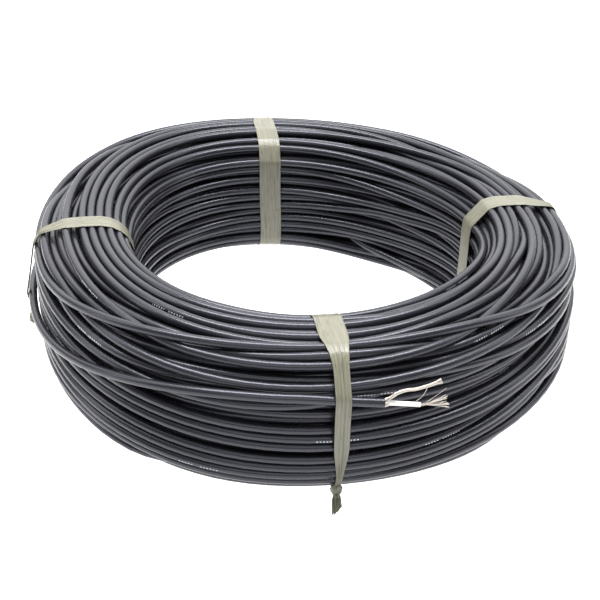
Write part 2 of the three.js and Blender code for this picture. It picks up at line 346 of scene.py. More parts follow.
def outline_length(inset):
    points = section_outline(inset, 200)
    return np.linalg.norm(points - np.roll(points, 1, axis=0), axis=1).sum()


def skin_distance(p):
    """How far points of the section lie outside the ring's skin, and the way out."""
    middle = np.array([MIDDLE_R, (BOTTOM + TOP) / 2])
    half = np.array([(OUTER_R - INNER_R) / 2, (TOP - BOTTOM) / 2]) - CORNER_R
    q = p - middle
    a = np.abs(q) - half
    out = np.maximum(a, 0)
    length = np.linalg.norm(out, axis=-1)
    distance = length + np.minimum(a.max(axis=-1), 0) - CORNER_R
    along = np.where(length[..., None] > 1e-6, out / np.maximum(length, 1e-6)[..., None],
                     np.eye(2)[a.argmax(axis=-1)])
    return distance, along * np.where(q < 0, -1.0, 1.0)


def strand_homes(rng):
    """Each turn's layer and its share of that layer's outline, in the order in which it was wound."""
    shares = []
    layers = []
    places = []
    for layer, (inset, pitch, disorder) in enumerate(zip(LAYER_INSETS, LAYER_PITCHES, LAYER_DISORDER)):
        count = int(outline_length(inset) / pitch)
        order = np.argsort(np.arange(count) + rng.random(count) * disorder)
        start = rng.integers(count)
        share = ((order + start) % count) / count
        shares.append(share)
        places.append(at_share(np.full(count, layer), share))
        layers += [layer] * count
    shares = np.concatenate(shares)
    places = np.concatenate(places)
    layers = np.array(layers)
    # A few strands of neighbouring layers change places.
    for _ in range(LAYER_SWAPS):
        i = rng.integers(len(layers))
        gap = np.linalg.norm(places - places[i], axis=1)
        gap[layers == layers[i]] = np.inf
        j = int(gap.argmin())
        for values in (shares, layers, places):
            values[[i, j]] = values[[j, i]]
    return layers, shares


def at_share(layer, share):
    """Points of the section at shares of the layers' outlines."""
    count = 720
    tables = np.stack([section_outline(inset, count) for inset in LAYER_INSETS])
    at = (share % 1.0) * count
    low = at.astype(int) % count
    part = (at - np.floor(at))[:, None]
    return tables[layer, low] * (1 - part) + tables[layer, (low + 1) % count] * part


def drift(layer, share, stray, azimuth):
    """How far a strand has drifted round the section, as a share of its outline."""
    wave = np.cos(2 * (azimuth - DRIFT_AZIMUTH))
    reach = np.where(stray, STRAY_DRIFT, np.array(LAYER_DRIFTS)[layer])
    grown = smoothstep(at_share(layer, share)[:, 0], *DRIFT_EDGE)
    reach = reach * (INNER_DRIFT + (1 - INNER_DRIFT) * grown)
    length = np.array([outline_length(inset) for inset in LAYER_INSETS])
    return reach * wave / length[layer]


def wanted_chain(homes, rng):
    """Where every point of the chain would lie if strands could pass through each other."""
    layers, shares = homes
    turns = len(layers)
    stray = (layers == len(LAYER_INSETS) - 1) & (rng.random(turns) < STRAY_SHARE)
    at = np.arange(turns * SLICES + 1) / SLICES
    azimuth = chain_azimuths(len(at))
    i = np.minimum(at.astype(int), turns - 1)
    after = np.minimum(i + 1, turns - 1)
    span = SPAN_LEAST + SPAN_CHANCE * rng.random(turns)
    begin = rng.random(turns) * (SPAN_END - span)
    shift = smoothstep(at - i, begin[i], begin[i] + span[i])
    now, then = (at_share(layers[k], shares[k] + drift(layers[k], shares[k], stray[k], azimuth))
                 for k in (i, after))
    chain = now + (then - now) * shift[:, None]
    # A strand that crosses others goes over or under them.
    jump = np.linalg.norm(then - now, axis=1)
    side = np.where(rng.random(turns) < 0.5, CROSSING_LIFT, -CROSSING_LIFT)
    lift = np.where(jump > FAR_JUMP, side[i], 0.0) * np.sin(math.pi * shift) ** 2
    strayed = stray[i] * (1 - shift) + stray[after] * shift
    chain = chain + skin_distance(chain)[1] * (lift + STRAY_LIFT * strayed)[:, None]
    # A slow wander along the cable.
    steps = np.arange(-3 * WANDER_LONG, 3 * WANDER_LONG + 1)
    kernel = np.exp(-0.5 * (steps / WANDER_LONG) ** 2)
    kernel *= WANDER_FAR / np.sqrt((kernel ** 2).sum())
    for c in range(2):
        chain[:, c] += np.convolve(rng.normal(size=len(at)), kernel, "same")
    return chain


def close_pairs(chain, reach):
    """Index pairs of chain points in one slice that lie within reach of each other."""
    turns = (len(chain) - 1) // SLICES
    rows = chain[:turns * SLICES].reshape(turns, SLICES, 2)
    first = []
    second = []
    for k in range(SLICES):
        gap = ((rows[:, None, k] - rows[None, :, k]) ** 2).sum(-1)
        a, b = np.nonzero(np.triu(gap < reach ** 2, 1))
        first.append(a * SLICES + k)
        second.append(b * SLICES + k)
    return np.concatenate(first), np.concatenate(second)


def chain_azimuths(count):
    """The azimuth of every chain point. The last one is where the free end starts."""
    return END_START + (np.arange(count) - (count - 1)) * 2 * math.pi / SLICES


def free_end_height(azimuth):
    """The height of the free end's middle: low where it starts, higher at the front, sinking a little."""
    rise = smoothstep(azimuth, *END_RISE)
    return END_LOW + (END_HIGH - END_LOW) * rise - END_SUNK * smoothstep(azimuth, *END_SINK)


def relaxed_chain(target):
    """The chain pushed about until its strands nearly clear each other, the skin and the free end."""
    chain = target.copy()
    azimuth = chain_azimuths(len(chain))
    # Between the ties the strands may swell past the skin.
    swell = SWELL * (1 - np.cos(4 * (azimuth - TIE_TURN)))
    # The free end lies on the outside, and the strands under it make room.
    around = (azimuth - END_START) % (2 * math.pi)
    under_end = around < END_STRAIGHT - END_START
    end_place = np.stack([np.full(len(chain), END_R), free_end_height(END_START + around)], 1)
    # The last stretch climbs from the outer layer to where the free end starts.
    share = smoothstep(np.arange(CLIMB) / (CLIMB - 1), 0, 1)
    start = np.array(CLIMB_FROM)
    finish = np.array([END_R, END_LOW])
    guide = start + (finish - start) * share[:, None]
    for step in range(RELAX_ROUNDS):
        if step % PAIRS_EVERY == 0:
            a, b = close_pairs(chain, PAIR_REACH)
        gap = chain[a] - chain[b]
        dist = np.linalg.norm(gap, axis=1) + 1e-6
        push = gap * (PAIR_PUSH * np.maximum(SPACING - dist, 0) / dist)[:, None]
        for c in range(2):
            chain[:, c] += np.bincount(a, push[:, c], len(chain)) - np.bincount(b, push[:, c], len(chain))
        gap = chain - end_place
        dist = np.linalg.norm(gap, axis=1) + 1e-6
        push = np.where(under_end, np.maximum(SPACING - dist, 0), 0) / dist
        chain += gap * push[:, None]
        for _ in range(SMOOTHINGS):
            bend = np.zeros_like(chain)
            bend[1:-1] = (chain[:-2] + chain[2:]) / 2 - chain[1:-1]
            stiff = np.zeros_like(chain)
            stiff[1:-1] = (bend[:-2] + bend[2:]) / 2 - bend[1:-1]
            chain += BEND_EASE * bend - STIFF_EASE * stiff
        if step < RELAX_ROUNDS - FREE_ROUNDS:
            chain += (target - chain) * HOME_PULL
        dist, out = skin_distance(chain)
        excess = np.maximum(dist + CABLE_D / 2 + SKIN_GAP - swell, 0)
        chain -= out * (SKIN_PUSH * excess)[:, None]
        chain[:, 1] = np.maximum(chain[:, 1], CABLE_D / 2 + SKIN_GAP)
        chain[-CLIMB:] = guide
    return chain


def wound_chain():
    """The section places (radius, height) and azimuths of every point of the winding."""
    rng = np.random.default_rng(WINDING_SEED)
    homes = strand_homes(rng)
    chain = relaxed_chain(wanted_chain(homes, rng))
    return chain, chain_azimuths(len(chain))


# Sweeping by a node tree

def sweep_tree():
    """A tree that sweeps a circle along a line, and stores where each point lies."""
    tree = bpy.data.node_groups.new("round_cord", "GeometryNodeTree")
    face = tree.interface
    face.new_socket("Line", in_out="INPUT", socket_type="NodeSocketGeometry")
    face.new_socket("Radius", in_out="INPUT", socket_type="NodeSocketFloat")
    face.new_socket("Sides", in_out="INPUT", socket_type="NodeSocketInt")
    face.new_socket("Material", in_out="INPUT", socket_type="NodeSocketMaterial")
    face.new_socket("Cord", in_out="OUTPUT", socket_type="NodeSocketGeometry")
    new = tree.nodes.new
    link = tree.links.new
    enter = new("NodeGroupInput")
    leave = new("NodeGroupOutput")
    line = new("GeometryNodeMeshToCurve")
    link(enter.outputs["Line"], line.inputs["Mesh"])
    length = new("GeometryNodeSplineParameter")
    along = new("GeometryNodeStoreNamedAttribute")
    along.data_type = "FLOAT"
    along.domain = "POINT"
    along.inputs["Name"].default_value = "along"
    link(line.outputs["Curve"], along.inputs["Geometry"])
    link(length.outputs["Length"], along.inputs["Value"])
    circle = new("GeometryNodeCurvePrimitiveCircle")
    link(enter.outputs["Sides"], circle.inputs["Resolution"])
    link(enter.outputs["Radius"], circle.inputs["Radius"])
    position = new("GeometryNodeInputPosition")
    unit = new("ShaderNodeVectorMath")
    unit.operation = "NORMALIZE"
    link(position.outputs["Position"], unit.inputs[0])
    around = new("GeometryNodeStoreNamedAttribute")
    around.data_type = "FLOAT_VECTOR"
    around.domain = "POINT"
    around.inputs["Name"].default_value = "around"
    link(circle.outputs["Curve"], around.inputs["Geometry"])
    link(unit.outputs["Vector"], around.inputs["Value"])
    sweep = new("GeometryNodeCurveToMesh")
    sweep.inputs["Fill Caps"].default_value = True
    link(along.outputs["Geometry"], sweep.inputs["Curve"])
    link(around.outputs["Geometry"], sweep.inputs["Profile Curve"])
    realize = new("GeometryNodeRealizeInstances")
    link(sweep.outputs["Mesh"], realize.inputs["Geometry"])
    paint = new("GeometryNodeSetMaterial")
    link(realize.outputs["Geometry"], paint.inputs["Geometry"])
    link(enter.outputs["Material"], paint.inputs["Material"])
    link(paint.outputs["Geometry"], leave.inputs["Cord"])
    return tree


def swept(name, lines, radius, sides, material):
    """A plain mesh of round cords along lines of points in metres."""
    verts = np.concatenate(lines)
    edges = []
    start = 0
    for line in lines:
        edges += [(start + i, start + i + 1) for i in range(len(line) - 1)]
        start += len(line)
    mesh = bpy.data.meshes.new(name + "_line")
    mesh.from_pydata(verts.tolist(), edges, [])
    obj = bpy.data.objects.new(name, mesh)
    bpy.context.scene.collection.objects.link(obj)
    tree = bpy.data.node_groups.get("round_cord") or sweep_tree()
    modifier = obj.modifiers.new("sweep", "NODES")
    modifier.node_group = tree
    sockets = {s.name: s.identifier for s in tree.interface.items_tree if s.in_out == "INPUT"}
    modifier[sockets["Radius"]] = radius
    modifier[sockets["Sides"]] = sides
    modifier[sockets["Material"]] = material
    shaped = obj.evaluated_get(bpy.context.evaluated_depsgraph_get())
    plain = bpy.data.meshes.new_from_object(shaped)
    obj.modifiers.remove(modifier)
    obj.data = plain
    bpy.data.meshes.remove(mesh)
    plain.name = name
    smooth_sides(plain)
    return obj


def smooth_sides(mesh):
    """Smooth shading on the sides, flat on the caps."""
    for face in mesh.polygons:
        face.use_smooth = len(face.vertices) <= 4


# Materials

def new_material(name, base, rough, metal=0.0):
    material = bpy.data.materials.new(name)
    material.use_nodes = True
    shader = material.node_tree.nodes["Principled BSDF"]
    shader.inputs["Base Color"].default_value = (*base, 1)
    shader.inputs["Roughness"].default_value = rough
    shader.inputs["Metallic"].default_value = metal
    return material, material.node_tree, shader


def math_node(tree, operation, *values):
    node = tree.nodes.new("ShaderNodeMath")
    node.operation = operation
    for socket, value in zip(node.inputs, values):
        if isinstance(value, (int, float)):
            socket.default_value = value
        else:
            tree.links.new(value, socket)
    return node.outputs[0]


def noise_node(tree, vector, scale, detail=2):
    node = tree.nodes.new("ShaderNodeTexNoise")
    node.inputs["Scale"].default_value = scale
    node.inputs["Detail"].default_value = detail
    tree.links.new(vector, node.inputs["Vector"])
    return node.outputs["Fac"]


def ramp_node(tree, value, low, high, ends=(0.0, 1.0)):
    node = tree.nodes.new("ShaderNodeValToRGB")
    for element, position, colour in zip(node.color_ramp.elements, ends, (low, high)):
        element.position = position
        element.color = (*colour, 1)
    tree.links.new(value, node.inputs["Fac"])
    return node.outputs["Color"]


def mix_node(tree, factor, low, high):
    """One colour mixed into another. Each is three numbers or a socket."""
    node = tree.nodes.new("ShaderNodeMix")
    node.data_type = "RGBA"
    tree.links.new(factor, node.inputs["Factor"])
    for socket, value in zip((node.inputs[6], node.inputs[7]), (low, high)):
        if isinstance(value, tuple):
            socket.default_value = (*value, 1)
        else:
            tree.links.new(value, socket)
    return node.outputs[2]


def bump_node(tree, shader, height, strength, distance):
    node = tree.nodes.new("ShaderNodeBump")
    node.inputs["Strength"].default_value = strength
    node.inputs["Distance"].default_value = distance
    tree.links.new(height, node.inputs["Height"])
    tree.links.new(node.outputs["Normal"], shader.inputs["Normal"])


def stretch_node(tree, vector, scale):
    node = tree.nodes.new("ShaderNodeMapping")
    node.inputs["Scale"].default_value = scale
    tree.links.new(vector, node.inputs["Vector"])
    return node.outputs["Vector"]


def attribute_node(tree, name):
    node = tree.nodes.new("ShaderNodeAttribute")
    node.attribute_name = name
    return node


def jacket_marks(tree, run, parts):
    """How strongly a mark shows: a faint row of short ticks at even steps along the cable."""
    repeat = math_node(tree, "FRACT", math_node(tree, "MULTIPLY", run, 1 / MARK_EVERY))
    in_row = math_node(tree, "LESS_THAN", repeat, MARK_ROW / MARK_EVERY)
    gap = math_node(tree, "COMPARE", repeat, MARK_GAP_AT * MARK_ROW / MARK_EVERY, MARK_GAP / MARK_EVERY)
    ticks = math_node(tree, "FRACT", math_node(tree, "MULTIPLY", run, 1 / (TICK_EVERY * MM)))
    tick = math_node(tree, "LESS_THAN", ticks, 0.5)
    side = math_node(tree, "COMPARE", parts.outputs["Y"], 0.0, MARK_HALF_HIGH)
    facing = math_node(tree, "GREATER_THAN", parts.outputs["X"], 0.0)
    mark = math_node(tree, "MULTIPLY", in_row, math_node(tree, "MULTIPLY", tick, side))
    mark = math_node(tree, "MULTIPLY", mark, facing)
    mark = math_node(tree, "MULTIPLY", mark, math_node(tree, "SUBTRACT", 1.0, gap))
    return math_node(tree, "MULTIPLY", mark, MARK_STRENGTH)


def jacket_material():
    """Dark grey PVC, satin, over a braid that shows faintly, with generic marks along it."""
    material, tree, shader = new_material("jacket", JACKET_COLOUR, JACKET_ROUGH)
    shader.inputs["Specular Tint"].default_value = (*JACKET_SHINE, 1)
    run = attribute_node(tree, "along").outputs["Fac"]
    parts = tree.nodes.new("ShaderNodeSeparateXYZ")
    tree.links.new(attribute_node(tree, "around").outputs["Vector"], parts.inputs[0])
    angle = math_node(tree, "ARCTAN2", parts.outputs["Y"], parts.outputs["X"])
    coords = tree.nodes.new("ShaderNodeTexCoord").outputs["Object"]

    # The braid's two sets of strands, printed through the jacket.
    wound = math_node(tree, "MULTIPLY", angle, BRAID_STRANDS)
    lay = math_node(tree, "MULTIPLY", run, 2 * math.pi / (BRAID_LAY * MM))
    one = math_node(tree, "SINE", math_node(tree, "ADD", lay, wound))
    other = math_node(tree, "SINE", math_node(tree, "SUBTRACT", lay, wound))
    braid = math_node(tree, "MULTIPLY", math_node(tree, "MULTIPLY", one, other), BRAID_SHOW)
    height = math_node(tree, "ADD", braid, noise_node(tree, coords, JACKET_GRAIN, 3))
    bump_node(tree, shader, height, 0.06, 0.02 * MM)

    # Wear and dust change the gloss a little.
    cloud = noise_node(tree, coords, JACKET_CLOUD, 4)
    rough = math_node(tree, "MULTIPLY_ADD", cloud, JACKET_WEAR, JACKET_LEAST_ROUGH)
    tree.links.new(rough, shader.inputs["Roughness"])

    colour = mix_node(tree, jacket_marks(tree, run, parts), JACKET_COLOUR, MARK_COLOUR)
    tree.links.new(colour, shader.inputs["Base Color"])
    return material


def film_material():
    """Khaki film, drawn into lengthwise streaks."""
    material, tree, shader = new_material("film", FILM_BASE, FILM_ROUGH)
    across = tree.nodes.new("ShaderNodeUVMap")
    across.uv_map = "film"
    streak = noise_node(tree, stretch_node(tree, across.outputs["UV"], FILM_STREAKS), 1.0, 5)
    colour = ramp_node(tree, streak, FILM_DARK, FILM_LIGHT, FILM_RAMP)

    # Thin lines of painted shade where the film is folded sharply.
    fold = noise_node(tree, stretch_node(tree, across.outputs["UV"], FILM_CREASE_SHADE_STRETCH), 1.0, 2)
    edge = math_node(tree, "ABSOLUTE", math_node(tree, "SUBTRACT", fold, 0.5))
    line = tree.nodes.new("ShaderNodeMapRange")
    line.inputs["From Max"].default_value = CREASE_SHADE_WIDE
    line.inputs["To Min"].default_value = CREASE_SHADE_LEFT
    tree.links.new(edge, line.inputs["Value"])
    # The painted crease shade is mixed over the film's streaked colour.
    shade = mix_node(tree, line.outputs["Result"], CREASE_SHADE_COLOUR, colour)
    tree.links.new(shade, shader.inputs["Base Color"])

    bump_node(tree, shader, streak, 0.6, 0.25 * MM)
    shader.inputs["Subsurface Weight"].default_value = 0.15
    shader.inputs["Subsurface Radius"].default_value = (0.002, 0.0018, 0.001)
    return material


def insulation_material():
    """White, soft and a little uneven."""
    material, tree, shader = new_material("core", CORE_BASE, 0.35)
    coords = tree.nodes.new("ShaderNodeTexCoord").outputs["Object"]
    colour = ramp_node(tree, noise_node(tree, coords, 220), CORE_DARK, CORE_LIGHT)
    tree.links.new(colour, shader.inputs["Base Color"])
    shader.inputs["Subsurface Weight"].default_value = 0.3
    shader.inputs["Subsurface Radius"].default_value = (0.001, 0.001, 0.001)
    return material


def tinned_material():
    """Tinned copper wire, duller and warmer here and there."""
    material, tree, shader = new_material("tinned_copper", TINNED_BASE, 0.35, 1.0)
    coords = tree.nodes.new("ShaderNodeTexCoord").outputs["Object"]
    colour = ramp_node(tree, noise_node(tree, coords, 700), TINNED_DARK, TINNED_LIGHT)
    tree.links.new(colour, shader.inputs["Base Color"])
    return material


# The wound cable and its free end

def winding_pieces(chain, azimuth, material):
    """The winding in two pieces: its deeper turns, and the outer turns, which have more sides."""
    points = place(azimuth, chain[:, 0], chain[:, 1])
    turns = (len(chain) - 1) // SLICES
    split = int(turns * INNER_TURNS) * SLICES
    inner = swept("cable_turns_inner", [points[:split + 1]], CABLE_D / 2 * MM, INNER_SIDES, material)
    outer = swept("cable_turns_outer", [points[split:]], CABLE_D / 2 * MM, OUTER_SIDES, material)
    for piece in (inner, outer):
        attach(piece, "root")
    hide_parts("cable_coil")


def end_frame():
    """Where the free end's straight stretch begins, in metres, and the ways ahead and out of the ring."""
    azimuth = np.array([END_STRAIGHT, END_STRAIGHT + 0.02])
    here, there = place(azimuth, np.full(2, END_R), free_end_height(azimuth))
    ahead = Vector(there - here).normalized()
    outwards = Vector((ahead.y, -ahead.x, 0)).normalized()
    return Vector(here), ahead, outwards


def beyond(forward, up, out=0.0):
    """A point by the stripped end, in metres, from millimetres forward, up and out."""
    here, ahead, outwards = end_frame()
    tip = here + ahead * END_STRAIGHT_LONG * MM
    return tip + ahead * forward * MM + outwards * out * MM + Vector((0, 0, up * MM))


def smooth_line(points, count):
    """A smooth line through a few points, as count points."""
    points = np.array([tuple(p) for p in points])
    step = np.concatenate([[0], np.cumsum(np.linalg.norm(np.diff(points, axis=0), axis=1))])
    ends = [2 * points[0] - points[1], *points, 2 * points[-1] - points[-2]]
    out = []
    for at in np.linspace(0, step[-1], count):
        i = min(int(np.searchsorted(step, at, "right")) - 1, len(points) - 2)
        t = (at - step[i]) / (step[i + 1] - step[i])
        a, b, c, d = ends[i], ends[i + 1], ends[i + 2], ends[i + 3]
        out.append(0.5 * (2 * b + (c - a) * t + (2 * a - 5 * b + 4 * c - d) * t ** 2
                          + (3 * b - a - 3 * c + d) * t ** 3))
    return np.array(out)


def free_end_path():
    """The free end's middle line: round the ring, then straight on to where the jacket ends."""
    azimuth = np.linspace(END_START, END_STRAIGHT, END_STEPS)
    bend = place(azimuth, np.full(END_STEPS, END_R), free_end_height(azimuth))
    here, ahead, _ = end_frame()
    straight = [tuple(here + ahead * END_STRAIGHT_LONG * MM * t) for t in (0.25, 0.5, 0.75, 1.0)]
    return np.concatenate([bend, straight])


def twisted(line, radius, turns, count, loose, phase):
    """Wires twisted round a line: count lines, which lie apart at its start by loose millimetres."""
    line = np.asarray(line)
    ahead = np.gradient(line, axis=0)
    ahead /= np.linalg.norm(ahead, axis=1)[:, None]
    side = np.cross(ahead, (0.0, 0.0, 1.0))
    side /= np.linalg.norm(side, axis=1)[:, None]
    up = np.cross(side, ahead)
    share = np.linspace(0, 1, len(line))
    flare = 1 + SCREEN_FLARE * smoothstep(share, 0.9, 1.0)
    spread = radius * flare + loose * (1 - smoothstep(share, 0.0, SCREEN_GATHERED))
    wires = []
    for i in range(count):
        angle = phase + 2 * math.pi * (i / count + turns * share)
        offset = side * (np.cos(angle) * spread)[:, None] + up * (np.sin(angle) * spread)[:, None]
        wires.append(line + offset * MM)
    return wires


def screen_wires():
    """The screen's wires: out of the jacket round the core, drawn together and twisted."""
    root = (COLLAR_D + SCREEN_D) / 2 - 0.5
    line = smooth_line([beyond(-0.6, 0.0), beyond(0.5, 0.2), beyond(1.6, root - 0.4),
                        beyond(3.4, root + 1.1), beyond(6.1, root + 3.3),
                        beyond(10, root + 5.0), beyond(14.3, root + 5.8), beyond(20, root + 8),
                        beyond(25.3, root + 10.7)], SCREEN_STEPS)
    wires = []
    for radius, count, loose, phase in SCREEN_BUNDLES:
        wires += twisted(line, radius, SCREEN_TWISTS, count, loose, phase)
    # The collar: a few wires that still lie round the core where the jacket ends.
    for i in range(COLLAR_WIRES):
        a = 2 * math.pi * i / COLLAR_WIRES
        ring = [beyond(f, r * math.sin(a + w), r * math.cos(a + w)) for f, r, w in COLLAR_WAY]
        wires.append(smooth_line(ring, 8))
    # One stray wire.
    wires.append(smooth_line([beyond(19.0, root + 7.6, 0.5), beyond(18.0, root + 5.0, 0.9),
                              beyond(16.4, root + 2.6, 1.3), beyond(14.2, root + 0.2, 1.0)], 14))
    return wires


def conductor_wires(rng):
    """The conductor's wires: a short twisted root that opens into an uneven fan."""
    start = CORE_LONG + 0.1
    wires = []
    for i in range(CONDUCTOR_WIRES):
        share = i / (CONDUCTOR_WIRES - 1)
        a = FAN_TURN * i
        ring = FAN_ROOT_R * math.sqrt(share)
        # Every fifth wire is shorter, and the last two stand up from the rest.
        shorter = 2.6 if i % 5 == 4 else 0
        higher = 3.0 if i >= CONDUCTOR_WIRES - 2 else 0
        long = FAN_LONG - 2.0 * share + 1.2 * rng.random() - shorter
        rise = 0.3 + FAN_RISE * share ** 1.2 + higher + 0.6 * rng.normal()
        out = FAN_OUT * math.sin(a) + 0.4 * rng.normal()
        curl = 0.5 * rng.normal()
        wires.append(smooth_line([
            beyond(start - 0.6, CORE_DROP + ring * math.sin(a), ring * math.cos(a)),
            beyond(start + 1.4, CORE_DROP + ring * math.sin(a + 0.7), ring * math.cos(a + 0.7)),
            beyond(start + 0.45 * long, CORE_DROP + 0.36 * rise + 0.3 * curl, 0.4 * out),
            beyond(start + 0.75 * long, CORE_DROP + 0.68 * rise + 0.4 * curl, 0.75 * out),
            beyond(start + long, CORE_DROP + rise, out)], 16))
    return wires


def core_piece(material):
    line = smooth_line([beyond(-0.4, 0), beyond(CORE_LONG * 0.5, CORE_DROP * 0.2),
                        beyond(CORE_LONG, CORE_DROP)], 12)
    return swept("core_insulation_skin", [line], CORE_D / 2 * MM, CORE_SIDES, material)


def conductor_piece(material):
    rng = np.random.default_rng(WINDING_SEED)
    return swept("conductor_wires", conductor_wires(rng), CONDUCTOR_WIRE_D / 2 * MM, WIRE_SIDES, material)


def pigtail_piece(material):
    return swept("screen_wires", screen_wires(), SCREEN_WIRE_D / 2 * MM, WIRE_SIDES, material)


def free_end_piece(material):
    path = free_end_path()
    free_end = swept("cable_free_end_skin", [path], CABLE_D / 2 * MM, END_SIDES, material)
    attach(free_end, "root")
    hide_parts("cable_free_end")


# The film ties

def strands_at(chain, azimuth, wanted, half_width):
    """Radius and height of every strand that passes under a film, at a few azimuths across it."""
    found = []
    for at in (wanted - half_width, wanted, wanted + half_width):
        turns = np.ceil((azimuth[0] - at) / (2 * math.pi))
        level = at + 2 * math.pi * turns
        while level <= azimuth[-1]:
            i = np.interp(level, azimuth, np.arange(len(azimuth)))
            low = int(i)
            high = min(low + 1, len(chain) - 1)
            found.append(chain[low] + (chain[high] - chain[low]) * (i - low))
            level += 2 * math.pi
        for extra in (at, at - 2 * math.pi):
            if END_START <= extra <= END_STRAIGHT + 0.1:
                found.append(np.array([END_R, float(free_end_height(extra))]))
    return np.array(found)


def hull(points):
    """The convex hull, anticlockwise."""
    points = sorted(map(tuple, points))
    sides = []
    for run in (points, points[::-1]):
        chain = []
        for p in run:
            while len(chain) > 1:
                (ax, ay), (bx, by) = chain[-2], chain[-1]
                if (bx - ax) * (p[1] - ay) - (by - ay) * (p[0] - ax) > 0:
                    break
                chain.pop()
            chain.append(p)
        sides += chain[:-1]
    return np.array(sides)


def film_loop(strands, knot_height):
    """The film's way round the strands, from its knot and back to it, with the way out."""
    reach = CABLE_D / 2 + FILM_GAP_SKIN
    a = np.linspace(0, 2 * math.pi, 24, endpoint=False)
    circles = strands[:, None] + reach * np.stack([np.cos(a), np.sin(a)], 1)[None]
    loop = hull(circles.reshape(-1, 2))
    loop[:, 1] = np.maximum(loop[:, 1], FILM_THICK + 0.1)
    loop = resampled(np.concatenate([loop, loop[:1]]), FILM_STEPS)
    outside = loop[:, 0] > MIDDLE_R
    start = int(np.argmin(np.abs(loop[:, 1] - knot_height) + np.where(outside, 0.0, 1000.0)))
    loop = np.roll(loop, -start, axis=0)
    ahead = np.roll(loop, -1, axis=0) - np.roll(loop, 1, axis=0)
    ahead /= np.linalg.norm(ahead, axis=1)[:, None]
    return loop, np.stack([ahead[:, 1], -ahead[:, 0]], 1)


def film_faces(rows, columns, closed):
    """Four-sided faces between rows of points. A closed film joins its last row to its first."""
    faces = []
    for i in range(rows if closed else rows - 1):
        j = (i + 1) % rows
        for k in range(columns - 1):
            faces.append((i * columns + k, i * columns + k + 1, j * columns + k + 1, j * columns + k))
    return faces


def folds(rng, v, count):
    """A profile of lengthwise folds across the film, between -1 and 1."""
    profile = np.zeros_like(v)
    for _ in range(count):
        profile += np.sin(v * rng.uniform(5.0, 15.0) + rng.uniform(0, 6.28)) * rng.uniform(0.3, 1.0)
    return profile / np.abs(profile).max()


def tie_band(rng, tie, loop, out):
    """The loop of film: flat on the top, drawn together outside and pinched at its knot."""
    v = np.linspace(-1, 1, FILM_COLUMNS)
    fold = folds(rng, v, FILM_FOLDS)
    fine = folds(rng, 3 * v, FILM_FOLDS)
    radius, height = loop[:, 0], loop[:, 1]
    outside = smoothstep(radius, *GATHER_EDGE)
    wide = tie["wide"] + (tie["gathered"] - tie["wide"]) * outside
    step = np.linalg.norm(np.roll(loop, -1, axis=0) - loop, axis=1)
    run = np.concatenate([[0], np.cumsum(step[:-1])])
    from_knot = np.minimum(run, run[-1] + step[-1] - run)
    pinch = 1 - smoothstep(from_knot, *PINCH_EDGE)
    wide = wide + (PINCH_WIDE - wide) * pinch
    wander = sum(far * np.sin(run / long + rng.uniform(0, 6)) for far, long in FILM_WANDERS)
    lift = FOLD_HIGH + FOLD_HIGH_OUTSIDE * outside + FOLD_HIGH_PINCHED * pinch
    across = tie["askew"] * (1 + 0.6 * (1 - outside)) + wander
    reach = radius + plan_swing(tie["azimuth"])
    slow = 0.5 + 0.5 * np.sin(run / 17 + rng.uniform(0, 6))
    verts = []
    for k, share in enumerate(v):
        side = across + share * wide / 2 + 0.10 * fine[k] * outside
        relief = lift * (0.55 + 0.45 * fold[k]) * (0.7 + 0.3 * slow) + 0.05 * fine[k]
        r = radius + out[:, 0] * relief
        z = np.maximum(height + out[:, 1] * relief, 0.15)
        verts.append(place(tie["azimuth"] + side / reach, r, z))
    verts = np.stack(verts, 1).reshape(-1, 3)
    u = run / FILM_RUN
    coords = np.stack([np.repeat(u, len(v)), np.tile((v + 1) / 2, len(u))], 1)
    return verts, film_faces(len(loop), len(v), True), coords


def tie_knot(rng, tie, reach):
    """A crumpled lump where the film's two ends are tied."""
    rings = KNOT_RINGS
    around = KNOT_COLUMNS
    deep, middle, wide = KNOT_WAIST
    verts = []
    coords = []
    ridge = rng.uniform(0, 6.28, 6)
    for i in range(rings):
        polar = math.pi * (i + 0.5) / rings
        for k in range(around):
            a = 2 * math.pi * k / around
            crease = sum(high * math.sin(number * a + lean * polar + start)
                         for (high, number, lean), start in zip(KNOT_CREASES, ridge))
            waist = 1 - deep * math.exp(-((polar - middle) / wide) ** 2)
            grow = (1 + crease) * waist
            x = reach + KNOT_OUT / 2 + math.cos(a) * math.sin(polar) * grow * KNOT_OUT / 2
            side = math.sin(a) * math.sin(polar) * grow * KNOT_WIDE
            z = tie["knot"] + math.cos(polar) * KNOT_HIGH * (1 + 0.4 * crease)
            turn = tie["azimuth"] + (side + tie["askew"]) / (x + plan_swing(tie["azimuth"]))
            verts.append(place(np.array(turn), np.array(x), max(z, 0.2)))
            coords.append((0.1 * polar, k / around))
    faces = []
    for i in range(rings - 1):
        for k in range(around):
            j = (k + 1) % around
            faces.append((i * around + k, (i + 1) * around + k, (i + 1) * around + j, i * around + j))
    faces.append(tuple(range(around)))
    faces.append(tuple(reversed(range((rings - 1) * around, rings * around))))
    return np.array(verts), faces, np.array(coords)


